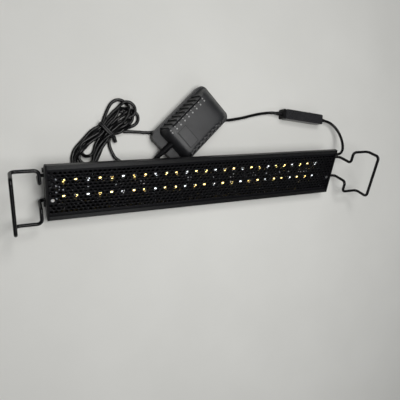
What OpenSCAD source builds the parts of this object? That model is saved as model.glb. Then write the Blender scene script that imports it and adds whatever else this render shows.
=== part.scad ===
// Aquarium light: a black aluminium LED bar with two sliding wire brackets, an inline
// controller, a wall adapter and its lead. The bar lies light side up and leans on the
// adapter and the hank of lead. X runs along the bar, Z is up from the table.

/* [Light bar] */
// Length of the bar over both end caps
bar_l = 320; // [260:5:480]
// Width of the bar across its front
bar_w = 53.6; // [52:0.2:60]
// Depth of the bar from its front rim to its back
bar_depth = 17.5; // [17:0.1:22]
// Width of the flat rim along each long side
rim_w = 4; // [3:0.1:5]
// Angle at which the bar leans, its south edge down
tilt = 24; // [22:0.5:26]

/* [LEDs] */
// Number of LEDs in each of the two rows
led_count = 27; // [9:1:27]
// Distance between LEDs along a row
led_pitch = 10.9; // [8:0.1:10.9]
// Distance between the two rows
row_gap = 15.8; // [12:0.1:20]

/* [Wire brackets] */
// Diameter of the bracket wire
wire_d = 3.2; // [2.4:0.1:3.4]
// Distance between the two legs of a bracket
leg_gap = 24.4; // [20:0.1:25]
// Length of a leg
leg_l = 140; // [100:1:150]
// Height of the first rise, past the front of the bar
rise_h = 19.9; // [15:0.1:24]
// Reach of the arm that rests on the tank's rim
arm_l = 22; // [16:0.5:30]
// Height of the hook outside the tank's wall
hook_h = 17.7; // [12:0.1:24]
// Width of the hook's crossbar between wire centres
hook_w = 50.8; // [46:0.2:54]
// How far the right bracket is pulled out
out_right = 20; // [3:0.5:60]
// How far the left bracket is pulled out
out_left = 5; // [3:0.5:60]

/* [Adapter] */
// Length of the wall adapter
adapter_l = 80; // [76:1:90]
// Width of the wall adapter
adapter_w = 46; // [42:1:48]
// Top of the adapter above the table
adapter_top = 25.4; // [24:0.2:27]

/* [Controller] */
// Length of the inline controller
control_l = 57; // [50:1:64]
// Width of the inline controller
control_w = 11.4; // [10:0.2:13]
// Height of the inline controller
control_h = 9.6; // [8.8:0.2:12]

/* [Lead] */
// Diameter of the round lead
lead_d = 3.2; // [2.8:0.1:3.4]

/* [Hidden] */

// Bar section, measured in the bar's own frame: Z = 0 is the front rim, Y = 0 the middle
half_w = bar_w / 2;
edge_h = 4;
back_half = 17.5;
floor_z = -11.5;
cavity_half = half_w - rim_w;
floor_half = 19.4;
groove_deep = 1.6;
groove_half = cavity_half + groove_deep;
groove_top = -1.2;
groove_low = -4.6;
cavity_bend = -5.4;
cap_t = 2;
body_l = bar_l - 2 * cap_t;
bore_r = wire_d / 2 + 0.05;
bush_r = 2.5;
leg_z = -14.2;
leg_y = leg_gap / 2;
fin_slots = [-6.8, -3.4, 3.4, 6.8];
fin_slot_w = 1.8;
fin_slot_deep = 3.2;

// Where the bar's own frame sits above the table
bar_x = -(out_right - out_left) / 2;
bar_y = 4.1;
bar_z = back_half * sin(tilt) + bar_depth * cos(tilt);

// Grille, cover and board stack, with the gap left between parts that slide together
gap = 0.1;
grille_t = 0.8;
grille_top = groove_top - gap;
cover_t = 1.4;
cover_top = grille_top - grille_t;
sheet_l = body_l - 2 * gap;
sheet_w = 2 * groove_half - 0.4;
seal_w = 1.2;
board_l = body_l - 12;
board_w = 2 * floor_half - 3;
board_t = 1.6;
board_top = floor_z + board_t;
led_size = [3.4, 2.8];
led_h = 1;
led_shift = -2.2;
resistor_size = [2, 1.2];
resistor_y = 1.6;
wire_in = 0.7;
cap_screw_y = 17;
cap_screw_z = -14.3;
cap_screw_l = 12;
screw_r = 1.2;
head_r = 2.2;
head_h = 1.3;
board_head_r = 2.4;
board_head_h = 1.1;
// Screw near each end that holds the grille to a tab on the end cap
tab_x = bar_l / 2 - 5.4;
tab_y = -7;
tab_size = [5, 6];
tab_top = cover_top - cover_t - gap;
tab_low = -8.4;
tab_screw_r = 0.75;
board_screw_x = [-135, -45, 45, 135];
resistor_x = [-146, -70, -20, 30, 58, 120, 128];
gland_y = 18.5;
gland_z = -7.6;
gland_r = 3;
gland_flange = 1.5;
gland_l = 8.5;

// Bracket bends
wire_r = wire_d / 2;
bend_r = 4;

// Adapter, in its own frame on the table
adapter_pos = [-20, 62];
adapter_turn = 41;
adapter_base = 3.4;
parting_z = 11;
shell_t = 2;
ledge = 9;
base_corner = 7;
top_corner = 5;
plate_pos = [-15.6, -2];
plate_size = [10.6, 18.6];
plate_t = 0.5;
plate_gap = 0.2;
circuit_z = adapter_base + shell_t;
circuit_u = 16;
circuit_size = [40, 34];
transformer_u = 14;
capacitor_u = 29;
capacitor_r = 3.4;
capacitor_h = 9;
prong_u = -28;
prong_z = adapter_base + 3.6;
prong_gap = 12.7;
blade_w = 6.35;
blade_t = 1.5;
blade_l = 17;
blade_tip = 1;
prong_bar_r = 3.3;
prong_bar_l = 17.6;
prong_pin_r = 1.2;
prong_pin_l = 23;
relief_u = 1 + ledge - adapter_l / 2;
relief_v = 2.5;
relief_z = 14.1;
relief_l = 24.8;
relief_drop = 22;
relief_r = 3.3;
relief_rings = 8;
relief_pitch = 2.6;

// Controller, in its own frame on the table
control_pos = [125.2, 70.8];
control_turn = -7.8;
case_t = 1.2;
case_corner = 1.6;
control_cap_l = 4;
control_mid = control_h / 2;
button_x = 10;
button_z = control_mid + 2;
button_r = 1.5;
grommet_r = 2.2;

// Route of each lead, in millimetres on the table
lead_r = lead_d / 2;
lead_sides = 8;
route_to_controller = [
  [161, 24.1, 23.7], [166, 25, 23.3], [170.6, 28.2, 22], [174, 33, 19.6],
  [176.6, 39.6, 16], [177.6, 46.6, 12.2], [176.4, 53.4, 9], [172.6, 59.4, 6.8],
  [166.6, 63.8, 5.4], [159.4, 66.1, 4.8]];
route_under_adapter = [
  [91, 75.5, 4.8], [85, 76.2, 3.4], [78, 76, 2], [68, 75, 1.7], [58, 73.2, 1.7],
  [48, 71.2, 1.7], [38, 69.7, 1.7], [29, 68.7, 1.7], [19, 68.6, 1.7], [9, 69.2, 1.7],
  [-1, 70, 1.7], [-11, 70.4, 1.7], [-21, 69.8, 1.7], [-31, 67.8, 1.7],
  [-41, 64.4, 1.7], [-50, 60.4, 1.7], [-59, 57.6, 1.7], [-68, 57.4, 1.7],
  [-76, 58.4, 1.7], [-85, 59.4, 1.7], [-94.5, 59.8, 1.7]];
route_to_adapter = [
  [-106.6, 51.4, 1.7], [-105.4, 44, 1.7], [-102.4, 37.2, 1.7], [-97, 31.6, 1.7],
  [-90.4, 27.4, 1.7], [-84, 24, 1.7], [-77, 22.4, 2], [-70.4, 23.2, 2.8],
  [-64.9, 26.3, 4.1], [-61.6, 29.2, 4.8]];

// Middle line of the hank, as [x, y, half width], and its height
hank_line = [[-132, 28, 11.4], [-124.5, 42, 11], [-115, 52.5, 9.2], [-107, 60.5, 7.8],
  [-98, 69, 10.5], [-88, 79, 17.5]];
hank_h = 8.6;

// Twist tie round the hank: its place, its turn and the opening inside it
tie_pos = [-106.5, 60.6];
tie_turn = -48;
tie_inside = [17.6, 8.8];
tie_t = 1.2;
tie_w = 4.4;
tie_tail = 7;

// ---- helpers ----

// Places the bar's own frame on the table
module on_bar() {
  translate([bar_x, bar_y, bar_z]) rotate([tilt, 0, 0]) children();
}

// Places the adapter's own frame on the table
module on_adapter() {
  translate([adapter_pos.x, adapter_pos.y, 0]) rotate([0, 0, adapter_turn]) children();
}

// Places the controller's own frame on the table
module on_controller() {
  translate([control_pos.x, control_pos.y, 0]) rotate([0, 0, control_turn]) children();
}

// Extrudes a section drawn in Y and Z along X, centred
module along_x(length) {
  translate([-length / 2, 0, 0]) rotate([90, 0, 90]) linear_extrude(length) children();
}

// A round bar along X, from x0 to x1
module rod_x(x0, x1, r) {
  translate([x0, 0, 0]) rotate([0, 90, 0]) cylinder(h = x1 - x0, r = r, $fn = 32);
}

// A box centred in X and Y that stands on z
module slab(size_x, size_y, z0, z1) {
  translate([-size_x / 2, -size_y / 2, z0]) cube([size_x, size_y, z1 - z0]);
}

// A rectangle with round corners
module round_rect(size_x, size_y, r) {
  square([size_x - 2 * r, size_y], center = true);
  square([size_x, size_y - 2 * r], center = true);
  for (sx = [-1, 1], sy = [-1, 1])
    translate([sx * (size_x / 2 - r), sy * (size_y / 2 - r)]) circle(r = r, $fn = 32);
}

function unit(v) = v / norm(v);

// Direction of travel at point i of a route
function heading(p, i) = unit(p[min(i + 1, len(p) - 1)] - p[max(i - 1, 0)]);

// One ring of the lead around point i, flat side down
function ring(p, i) =
  let (f = heading(p, i), s = unit(cross(f, [0, 0, 1])), u = cross(s, f), step = 360 / lead_sides)
  [for (k = [0 : lead_sides - 1])
    p[i] + lead_r * (cos(step * (k + 0.5)) * s + sin(step * (k + 0.5)) * u)];

// A lead swept along a route
module lead(route) {
  n = lead_sides;
  last = len(route) - 1;
  points = [for (i = [0 : last]) each ring(route, i)];
  sides = [for (i = [0 : last - 1], k = [0 : n - 1])
    [i * n + k, i * n + (k + 1) % n, (i + 1) * n + (k + 1) % n, (i + 1) * n + k]];
  start = [[for (k = [n - 1 : -1 : 0]) k]];
  end = [[for (k = [0 : n - 1]) last * n + k]];
  polyhedron(points = points, faces = concat(sides, start, end), convexity = 6);
}

// ---- light bar ----

module bar_outline() {
  polygon([[half_w, 0], [half_w, -edge_h], [back_half, -bar_depth],
    [-back_half, -bar_depth], [-half_w, -edge_h], [-half_w, 0]]);
}

module cavity_outline() {
  polygon([[cavity_half, 1], [cavity_half, cavity_bend], [floor_half, floor_z],
    [-floor_half, floor_z], [-cavity_half, cavity_bend], [-cavity_half, 1]]);
  translate([-groove_half, groove_low]) square([2 * groove_half, groove_top - groove_low]);
}

module housing() {
  color("#1b1c1e") on_bar() difference() {
    along_x(body_l) difference() {
      bar_outline();
      cavity_outline();
      for (y = fin_slots) translate([y - fin_slot_w / 2, -bar_depth - 1])
        square([fin_slot_w, fin_slot_deep + 1]);
    }
    for (side = [-1, 1]) {
      translate([0, side * leg_y, leg_z]) rod_x(-bar_l, bar_l, bore_r);
      for (end = [-1, 1])
        translate([end * body_l / 2, side * cap_screw_y, cap_screw_z])
          rod_x(-cap_screw_l, cap_screw_l, screw_r + 0.05);
    }
    for (x = board_screw_x)
      translate([x, 0, floor_z - 4]) cylinder(h = 5, r = screw_r, $fn = 32);
  }
}

// An end cap with the tab behind the grille; end is -1 on the left and 1 on the right
module end_cap(end) {
  x0 = end > 0 ? body_l / 2 : -bar_l / 2;
  difference() {
    union() {
      translate([x0 + cap_t / 2, 0, 0]) along_x(cap_t) bar_outline();
      translate([end * (body_l / 2 - tab_size.x / 2 + 0.5), tab_y, 0])
        slab(tab_size.x + 1, tab_size.y, tab_low, tab_top);
    }
    for (side = [-1, 1]) {
      translate([0, side * leg_y, leg_z]) rod_x(x0 - 1, x0 + cap_t + 1, bush_r);
      translate([0, side * cap_screw_y, cap_screw_z]) rod_x(x0 - 1, x0 + cap_t + 1, screw_r + 0.2);
    }
    translate([end * tab_x, tab_y, tab_low - 1])
      cylinder(h = 6, r = tab_screw_r + 0.05, $fn = 32);
  }
}

module end_cap_left() {
  color("#202124") on_bar() end_cap(-1);
}

module end_cap_right() {
  color("#202124") on_bar() difference() {
    end_cap(1);
    translate([0, gland_y, gland_z]) rod_x(body_l / 2 - 1, bar_l / 2 + 1, gland_r);
  }
}

module end_cap_screws() {
  color("#3a3b3e") on_bar() for (end = [-1, 1], side = [-1, 1])
    translate([end * bar_l / 2, side * cap_screw_y, cap_screw_z]) mirror([end < 0 ? 1 : 0, 0, 0]) {
      rod_x(-cap_screw_l, 0, screw_r);
      rod_x(0, head_h, head_r);
    }
}

// A sheet that slides into the grooves, with a hole for the screw at each end
module groove_sheet(z0, z1) {
  difference() {
    slab(sheet_l, sheet_w, z0, z1);
    for (end = [-1, 1]) translate([end * tab_x, tab_y, z0 - 1])
      cylinder(h = z1 - z0 + 2, r = tab_screw_r + 0.1, $fn = 32);
  }
}

module front_grille() {
  color("#26272a") on_bar() groove_sheet(cover_top, grille_top);
}

module clear_cover() {
  color("#8f979c", 0.5) on_bar() groove_sheet(cover_top - cover_t, cover_top);
}

module cover_seal() {
  color("#4c4f52") on_bar() for (side = [-1, 1])
    translate([0, side * (sheet_w / 2 - seal_w / 2 - gap), 0])
      slab(sheet_l, seal_w, groove_low + gap, cover_top - cover_t);
}

module grille_screws() {
  color("#b9bcc0") on_bar() for (end = [-1, 1]) translate([end * tab_x, tab_y, 0]) {
    translate([0, 0, tab_low]) cylinder(h = grille_top - tab_low, r = tab_screw_r, $fn = 32);
    translate([0, 0, grille_top]) cylinder(h = 0.6, r = 1.5, $fn = 32);
  }
}

module led_board() {
  color("#3a3c3f") on_bar() difference() {
    slab(board_l, board_w, floor_z, board_top);
    for (x = board_screw_x) translate([x, 0, floor_z - 1]) cylinder(h = 4, r = 1.5, $fn = 32);
  }
}

// Places one LED for each position whose place in the group of three passes the test
module led_group(first, last) {
  for (row = [-1, 1], i = [0 : led_count - 1])
    if (i % 3 >= first && i % 3 <= last)
      translate([led_shift + (i - (led_count - 1) / 2) * led_pitch, row * row_gap / 2, 0])
        slab(led_size.x, led_size.y, board_top, board_top + led_h);
}

module leds_white() {
  color("#f2d24a") on_bar() led_group(0, 1);
}

module leds_blue() {
  color("#dfe8f5") on_bar() led_group(2, 2);
}

module board_resistors() {
  color("#2a2a2c") on_bar() for (x = resistor_x, y = [-resistor_y, resistor_y])
    translate([x, y, 0]) slab(resistor_size.x, resistor_size.y, board_top, board_top + 0.6);
}

module board_screws() {
  color("#c4c6c8") on_bar() for (x = board_screw_x) translate([x, 0, 0]) {
    translate([0, 0, floor_z - 3.6]) cylinder(h = 3.6 + board_t, r = screw_r - 0.05, $fn = 32);
    translate([0, 0, board_top]) cylinder(h = board_head_h, r = board_head_r, $fn = 32);
  }
}

module inner_wires() {
  color("#1a1a1b") on_bar() for (side = [-1, 1])
    translate([0, gland_y - 1.2 + side * (wire_in + 0.2), board_top + wire_in + 0.2])
      rod_x(body_l / 2 - 14, body_l / 2 - 0.4, wire_in);
}

module leg_bushes() {
  color("#3c3d40") on_bar() for (end = [-1, 1], side = [-1, 1])
    translate([end * (bar_l / 2 - cap_t / 2), side * leg_y, leg_z]) difference() {
      rod_x(-cap_t / 2, cap_t / 2, bush_r);
      rod_x(-cap_t, cap_t, bore_r);
    }
}

// ---- wire brackets ----

// A straight wire from a to b, along one axis
module wire(a, b) {
  d = unit(b - a);
  s = abs(d.z) > 0.5 ? [1, 0, 0] : [0, 0, 1];
  q = cross(d, s);
  multmatrix([[s.x, q.x, d.x, a.x], [s.y, q.y, d.y, a.y], [s.z, q.z, d.z, a.z]])
    cylinder(h = norm(b - a), r = wire_r, $fn = 24);
}

// A quarter bend at a corner, coming in along d and leaving along e
module elbow(c, d, e) {
  m = c - bend_r * d + bend_r * e;
  n = cross(-e, d);
  multmatrix([[-e.x, d.x, n.x, m.x], [-e.y, d.y, n.y, m.y], [-e.z, d.z, n.z, m.z]])
    rotate_extrude(angle = 90, $fn = 48) translate([bend_r, 0]) circle(r = wire_r, $fn = 24);
}

// One wire bracket in the bar's frame, mirrored about X for the left one
module bracket(out) {
  x1 = bar_l / 2 + out;
  x2 = x1 + arm_l;
  z1 = leg_z + rise_h;
  z2 = z1 + hook_h;
  y2 = hook_w / 2;
  b = bend_r;
  for (side = [-1, 1]) mirror([0, side < 0 ? 1 : 0, 0]) {
    wire([x1 - leg_l, leg_y, leg_z], [x1 - b, leg_y, leg_z]);
    elbow([x1, leg_y, leg_z], [1, 0, 0], [0, 0, 1]);
    wire([x1, leg_y, leg_z + b], [x1, leg_y, z1 - b]);
    elbow([x1, leg_y, z1], [0, 0, 1], [0, 1, 0]);
    wire([x1, leg_y + b, z1], [x1, y2 - b, z1]);
    elbow([x1, y2, z1], [0, 1, 0], [1, 0, 0]);
    wire([x1 + b, y2, z1], [x2 - b, y2, z1]);
    elbow([x2, y2, z1], [1, 0, 0], [0, 0, 1]);
    wire([x2, y2, z1 + b], [x2, y2, z2 - b]);
    elbow([x2, y2, z2], [0, 0, 1], [0, -1, 0]);
  }
  wire([x2, y2 - b, z2], [x2, b - y2, z2]);
}

module bracket_left() {
  color("#17181a") on_bar() mirror([1, 0, 0]) bracket(out_left);
}

module bracket_right() {
  color("#17181a") on_bar() bracket(out_right);
}

// ---- bar lead and controller ----

module bar_gland() {
  color("#1c1d1f") on_bar() translate([0, gland_y, gland_z]) difference() {
    union() {
      rod_x(body_l / 2, bar_l / 2, gland_r);
      rod_x(bar_l / 2, bar_l / 2 + gland_flange, gland_r + 1.2);
      translate([bar_l / 2 + gland_flange, 0, 0]) rotate([0, 90, 0])
        cylinder(h = gland_l - gland_flange, r1 = gland_r, r2 = lead_r + 0.5, $fn = 32);
    }
    rod_x(body_l / 2 - 1, body_l / 2 + 2, lead_r);
  }
}

module lead_to_controller() {
  color("#141517") lead(route_to_controller);
}

// Half of the controller case between two heights; the end cap takes the rest of its length
module control_half(z0, z1, low) {
  l = control_l - control_cap_l;
  difference() {
    translate([control_cap_l / 2, 0, z0]) linear_extrude(z1 - z0) round_rect(l, control_w, case_corner);
    translate([control_cap_l / 2, 0, low ? z0 + case_t : z0 - 1]) linear_extrude(z1 - z0 - case_t + 1)
      round_rect(l - 2 * case_t, control_w - 2 * case_t, case_corner / 2);
    for (x = [3 - control_l / 2, control_l / 2 - 2]) translate([x, 0, control_mid])
      rod_x(-1.5, 3, grommet_r);
    if (!low) translate([button_x, control_w / 2, button_z]) rotate([90, 0, 0])
      cylinder(h = 4, r = button_r + gap, center = true, $fn = 32);
  }
}

module controller_upper_case() {
  color("#2a2a2d") on_controller() control_half(control_mid + 0.1, control_h, false);
}

module controller_lower_case() {
  color("#242427") on_controller() control_half(0, control_mid, true);
}

module controller_end_cap() {
  l = control_cap_l - 0.3;
  color("#303033") on_controller() difference() {
    translate([(l + gap - control_l) / 2, 0, 0]) linear_extrude(control_h - 0.2)
      round_rect(l, control_w - 0.4, 1.2);
    translate([0, 0, control_mid]) rod_x(-control_l / 2 - 1, -control_l / 2 + 5, grommet_r);
  }
}

module controller_board() {
  color("#1f5a33") on_controller() {
    translate([control_cap_l / 2, 0, 0]) slab(control_l - 18, 7.4, case_t, case_t + 1.2);
    translate([-6, 0, 0]) slab(6, 5, case_t, case_t + 2.6);
    translate([button_x, 1.3, 0]) slab(5, 4, case_t, button_z + 1.4);
  }
}

module controller_button() {
  color("#111214") on_controller() translate([button_x, control_w / 2, button_z]) rotate([90, 0, 0])
    translate([0, 0, -0.6]) cylinder(h = 2.4, r = button_r, $fn = 32);
}

module controller_grommets() {
  color("#161719") on_controller() for (end = [-1, 1]) mirror([end < 0 ? 1 : 0, 0, 0])
    translate([0, 0, control_mid]) {
      rod_x(control_l / 2 - 3.4, control_l / 2, grommet_r);
      translate([control_l / 2, 0, 0]) rotate([0, 90, 0])
        cylinder(h = 6, r1 = 2.6, r2 = lead_r + 0.3, $fn = 32);
    }
}

module lead_under_adapter() {
  color("#141517") lead(route_under_adapter);
}

// ---- hank ----

// Direction of the hank's middle line at point i, as an angle
function hank_angle(i) =
  let (a = hank_line[max(i - 1, 0)], b = hank_line[min(i + 1, len(hank_line) - 1)])
  atan2(b.y - a.y, b.x - a.x);

// A point beside point i of the middle line, at an angle from its direction
function hank_point(i, turn) =
  let (p = hank_line[i], a = hank_angle(i) + turn) [p.x + p.z * cos(a), p.y + p.z * sin(a)];

module cord_hank() {
  last = len(hank_line) - 1;
  color("#18191b") linear_extrude(hank_h) polygon(concat(
    [for (a = [90 : 15 : 270]) hank_point(0, a)],
    [for (i = [1 : last - 1]) hank_point(i, -90)],
    [for (a = [-90 : 15 : 90]) hank_point(last, a)],
    [for (i = [last - 1 : -1 : 1]) hank_point(i, 90)]));
}

module twist_tie() {
  color("#101113") translate([tie_pos.x, tie_pos.y, 0]) rotate([0, 0, tie_turn]) {
    difference() {
      slab(tie_inside.x + 2 * tie_t, tie_w, 0, tie_inside.y + tie_t);
      slab(tie_inside.x, tie_w + 2, -1, tie_inside.y);
    }
    translate([tie_inside.x / 2 + tie_t / 2, 0, tie_inside.y / 2]) rotate([0, 0, -22])
      translate([0, -0.8, 0]) cube([tie_tail, 1.6, 1.2]);
  }
}

module lead_to_adapter() {
  color("#141517") lead(route_to_adapter);
}

// ---- adapter ----

// Places children at the root of the strain relief, with X back along it
module on_relief() {
  translate([relief_u, relief_v, relief_z]) rotate([0, -relief_drop, 0]) children();
}

module adapter_strain_relief() {
  color("#1a1b1d") on_adapter() on_relief() {
    for (i = [1 : relief_rings])
      translate([-relief_pitch * i, 0, 0]) rod_x(-0.7, 0.7, relief_r - 0.11 * i);
    translate([-relief_l, 0, 0]) rotate([0, 90, 0])
      cylinder(h = relief_l + 1, r1 = lead_r + 0.3, r2 = relief_r - 0.5, $fn = 32);
  }
}

// The opening in both shells round the relief, open upwards by some height
module relief_slot(up) {
  hull() for (z = [0, up]) translate([0, 0, z]) on_relief()
    rod_x(-relief_l / 2, 4, relief_r + gap);
}

// The adapter's outer form above the parting line, shrunk by t
module upper_form(t) {
  u0 = ledge - adapter_l / 2;
  u1 = adapter_l / 2 - 1;
  base_u = u1 - u0;
  hull() {
    translate([(u0 + u1) / 2, 0, parting_z - 0.01 - (t > 0 ? 1 : 0)])
      linear_extrude(0.01) round_rect(base_u - 2 * t, adapter_w - 5 - 2 * t, top_corner);
    translate([(u0 + u1) / 2 - 1, 0, adapter_top - 9 - t])
      linear_extrude(0.01) round_rect(base_u - 4 - 2 * t, adapter_w - 8 - 2 * t, top_corner);
    translate([(u0 + u1) / 2 - 3.7, 0, adapter_top - 0.01 - t])
      linear_extrude(0.01) round_rect(base_u - 12 - 2 * t, adapter_w - 13 - 2 * t, top_corner - 1);
  }
}

module adapter_upper_shell() {
  color("#3a3b3f") on_adapter() difference() {
    upper_form(0);
    upper_form(shell_t);
    relief_slot(0);
    translate([plate_pos.x, plate_pos.y, adapter_top - plate_t - gap]) linear_extrude(1)
      square([plate_size.x + 2 * plate_gap, plate_size.y + 2 * plate_gap], center = true);
  }
}

module adapter_lower_shell() {
  color("#2e2f33") on_adapter() difference() {
    translate([0, 0, adapter_base]) linear_extrude(parting_z - gap - adapter_base)
      round_rect(adapter_l, adapter_w, base_corner);
    difference() {
      translate([4, 0, adapter_base + shell_t]) linear_extrude(parting_z)
        round_rect(adapter_l - 14, adapter_w - 2 * shell_t - 4, 4);
      translate([-20, 0, 0]) slab(30, 26, 0, parting_z);
    }
    for (side = [-1, 1])
      translate([prong_u - 3.6, side * prong_gap / 2 - 1.2, 0])
        cube([blade_l + 4.3, 2.4, prong_z + 3.5]);
    translate([prong_u - 3.6, -9.2, 0]) cube([7.2, 18.4, prong_z + 3.5]);
    translate([prong_u, 0, prong_z]) rotate([90, 0, 0])
      cylinder(h = prong_pin_l + 1, r = prong_pin_r + 0.05, center = true, $fn = 32);
    relief_slot(6);
  }
}

module adapter_label_plate() {
  color("#45464a") on_adapter() translate([plate_pos.x, plate_pos.y, adapter_top - plate_t - gap])
    linear_extrude(plate_t) square(plate_size, center = true);
}

module adapter_board() {
  color("#6b5a2a") on_adapter() translate([circuit_u, 0, 0])
    slab(circuit_size.x, circuit_size.y, circuit_z, circuit_z + board_t);
}

module adapter_transformer() {
  color("#c8b44a") on_adapter() translate([transformer_u, 0, 0]) {
    slab(14, 20, circuit_z + board_t, circuit_z + 13);
    slab(18, 12, circuit_z + 3, circuit_z + 11);
  }
}

module adapter_capacitors() {
  color("#2b3f73") on_adapter() for (y = [-9, 0, 9])
    translate([capacitor_u, y, circuit_z + board_t])
      cylinder(h = capacitor_h, r = capacitor_r, $fn = 32);
}

// ---- folding plug ----

module prong_blades() {
  color("#c9c6bd") on_adapter() for (side = [-1, 1])
    translate([prong_u, side * prong_gap / 2, prong_z]) rotate([90, 0, 0]) difference() {
      translate([0, 0, -blade_t / 2]) linear_extrude(blade_t) {
        circle(r = blade_w / 2, $fn = 48);
        translate([0, -blade_w / 2]) square([blade_l - 1.5 * blade_tip, blade_w]);
        translate([blade_l - 3 * blade_tip, blade_tip - blade_w / 2])
          square([3 * blade_tip, blade_w - 2 * blade_tip]);
      }
      cylinder(h = 4, r = prong_pin_r, center = true, $fn = 32);
    }
}

module prong_bar() {
  color("#1d1e20") on_adapter() translate([prong_u, 0, prong_z]) rotate([90, 0, 0]) difference() {
    cylinder(h = prong_bar_l, r = prong_bar_r, center = true, $fn = 32);
    cylinder(h = prong_bar_l + 2, r = prong_pin_r, center = true, $fn = 32);
    for (side = [-1, 1]) translate([0, 0, side * prong_gap / 2])
      cylinder(h = blade_t, r = prong_bar_r + 1, center = true, $fn = 32);
  }
}

module prong_pin() {
  color("#8d8f92") on_adapter() translate([prong_u, 0, prong_z]) rotate([90, 0, 0])
    cylinder(h = prong_pin_l, r = prong_pin_r, center = true, $fn = 32);
}

housing();
end_cap_left();
end_cap_right();
end_cap_screws();
front_grille();
clear_cover();
cover_seal();
grille_screws();
led_board();
leds_white();
leds_blue();
board_resistors();
board_screws();
inner_wires();
leg_bushes();
bracket_left();
bracket_right();
bar_gland();
lead_to_controller();
controller_upper_case();
controller_lower_case();
controller_end_cap();
controller_board();
controller_button();
controller_grommets();
lead_under_adapter();
cord_hank();
twist_tie();
lead_to_adapter();
adapter_strain_relief();
adapter_upper_shell();
adapter_lower_shell();
adapter_label_plate();
adapter_board();
adapter_transformer();
adapter_capacitors();
prong_blades();
prong_bar();
prong_pin();
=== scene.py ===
import math

import bmesh
import bpy
import numpy as np
from mathutils import Matrix, Vector


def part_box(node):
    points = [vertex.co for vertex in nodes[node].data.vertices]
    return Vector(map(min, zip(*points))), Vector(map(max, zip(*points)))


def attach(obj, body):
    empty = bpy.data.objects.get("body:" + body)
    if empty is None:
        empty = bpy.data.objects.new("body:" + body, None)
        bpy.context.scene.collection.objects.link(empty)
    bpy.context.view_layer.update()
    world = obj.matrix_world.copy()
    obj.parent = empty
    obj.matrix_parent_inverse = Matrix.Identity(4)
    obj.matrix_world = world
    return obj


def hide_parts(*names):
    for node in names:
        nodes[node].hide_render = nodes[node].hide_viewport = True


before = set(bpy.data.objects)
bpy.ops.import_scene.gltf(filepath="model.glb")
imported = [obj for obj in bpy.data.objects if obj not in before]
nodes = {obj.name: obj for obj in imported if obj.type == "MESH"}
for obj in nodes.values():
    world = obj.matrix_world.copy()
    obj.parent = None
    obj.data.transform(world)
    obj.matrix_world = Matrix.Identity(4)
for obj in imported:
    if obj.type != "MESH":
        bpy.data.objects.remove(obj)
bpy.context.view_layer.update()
MM = 0.001

# ---- places taken from the frame ----

TILT = math.radians(24)
ADAPTER_TURN = math.radians(41)
# The front grille's middle lies this far behind the bar's front rim
GRILLE_DEPTH = 1.7 * MM


def centre(node):
    low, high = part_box(node)
    return (low + high) / 2


# The bar's own frame has its origin in the middle of the front rim's plane
BAR_FRAME = (Matrix.Translation(centre("front_grille")) @ Matrix.Rotation(TILT, 4, "X")
             @ Matrix.Translation((0, 0, GRILLE_DEPTH)))

# The adapter's own frame stands on the table, under the middle of its lower shell
_low, _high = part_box("adapter_lower_shell")
ADAPTER_FRAME = (Matrix.Translation(((_low.x + _high.x) / 2, (_low.y + _high.y) / 2, 0))
                 @ Matrix.Rotation(ADAPTER_TURN, 4, "Z"))


# ---- camera ----

CAMERA_PLACE = Vector((-0.1936, 0.0198, 0.4056))
CAMERA_TARGET = Vector((-0.0107, -0.0160, 0.0))
CAMERA_UP = Vector((0.0692, 0.9976, 0.0))
CAMERA_LENS = 37.2
SENSOR = 36.0


def make_camera():
    data = bpy.data.cameras.new("camera")
    data.lens = CAMERA_LENS
    data.sensor_width = SENSOR
    data.clip_start = 0.01
    camera = bpy.data.objects.new("camera", data)
    back = (CAMERA_PLACE - CAMERA_TARGET).normalized()
    right = CAMERA_UP.cross(back).normalized()
    up = back.cross(right)
    turn = Matrix((right, up, back)).transposed().to_4x4()
    camera.matrix_world = Matrix.Translation(CAMERA_PLACE) @ turn
    bpy.context.scene.collection.objects.link(camera)
    bpy.context.scene.camera = camera


make_camera()


# ---- materials ----

def mixed(tree, factor, dark, light):
    """A colour between dark and light, by factor."""
    ramp = tree.nodes.new("ShaderNodeValToRGB")
    ramp.color_ramp.elements[0].color = (*dark, 1)
    ramp.color_ramp.elements[1].color = (*light, 1)
    tree.links.new(factor, ramp.inputs["Fac"])
    return ramp


def place_mm(tree, stretch=(1, 1, 1), turn=(0, 0, 0)):
    """Object coordinates in millimetres, turned and then stretched."""
    coords = tree.nodes.new("ShaderNodeTexCoord")
    mapping = tree.nodes.new("ShaderNodeMapping")
    mapping.vector_type = "TEXTURE"
    mapping.inputs["Rotation"].default_value = turn
    mapping.inputs["Scale"].default_value = [MM * s for s in stretch]
    tree.links.new(coords.outputs["Object"], mapping.inputs["Vector"])
    return mapping.outputs["Vector"]


def map_range(tree, value, old=(0, 1), new=(0, 1)):
    """A value spread from the old range to the new one."""
    spread = tree.nodes.new("ShaderNodeMapRange")
    for side, old_limit, new_limit in zip(("Min", "Max"), old, new):
        spread.inputs["From " + side].default_value = old_limit
        spread.inputs["To " + side].default_value = new_limit
    tree.links.new(value, spread.inputs["Value"])
    return spread.outputs["Result"]


NOISE_RANGE = (0.35, 0.65)
PATCH_DETAIL = 4.0
GRAIN_DETAIL = 2.0


def noise(tree, vector, scale, detail):
    """Noise at a scale in cycles per millimetre, with most of its range spread to 0..1."""
    texture = tree.nodes.new("ShaderNodeTexNoise")
    texture.inputs["Scale"].default_value = scale
    texture.inputs["Detail"].default_value = detail
    tree.links.new(vector, texture.inputs["Vector"])
    return map_range(tree, texture.outputs["Fac"], old=NOISE_RANGE)


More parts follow.
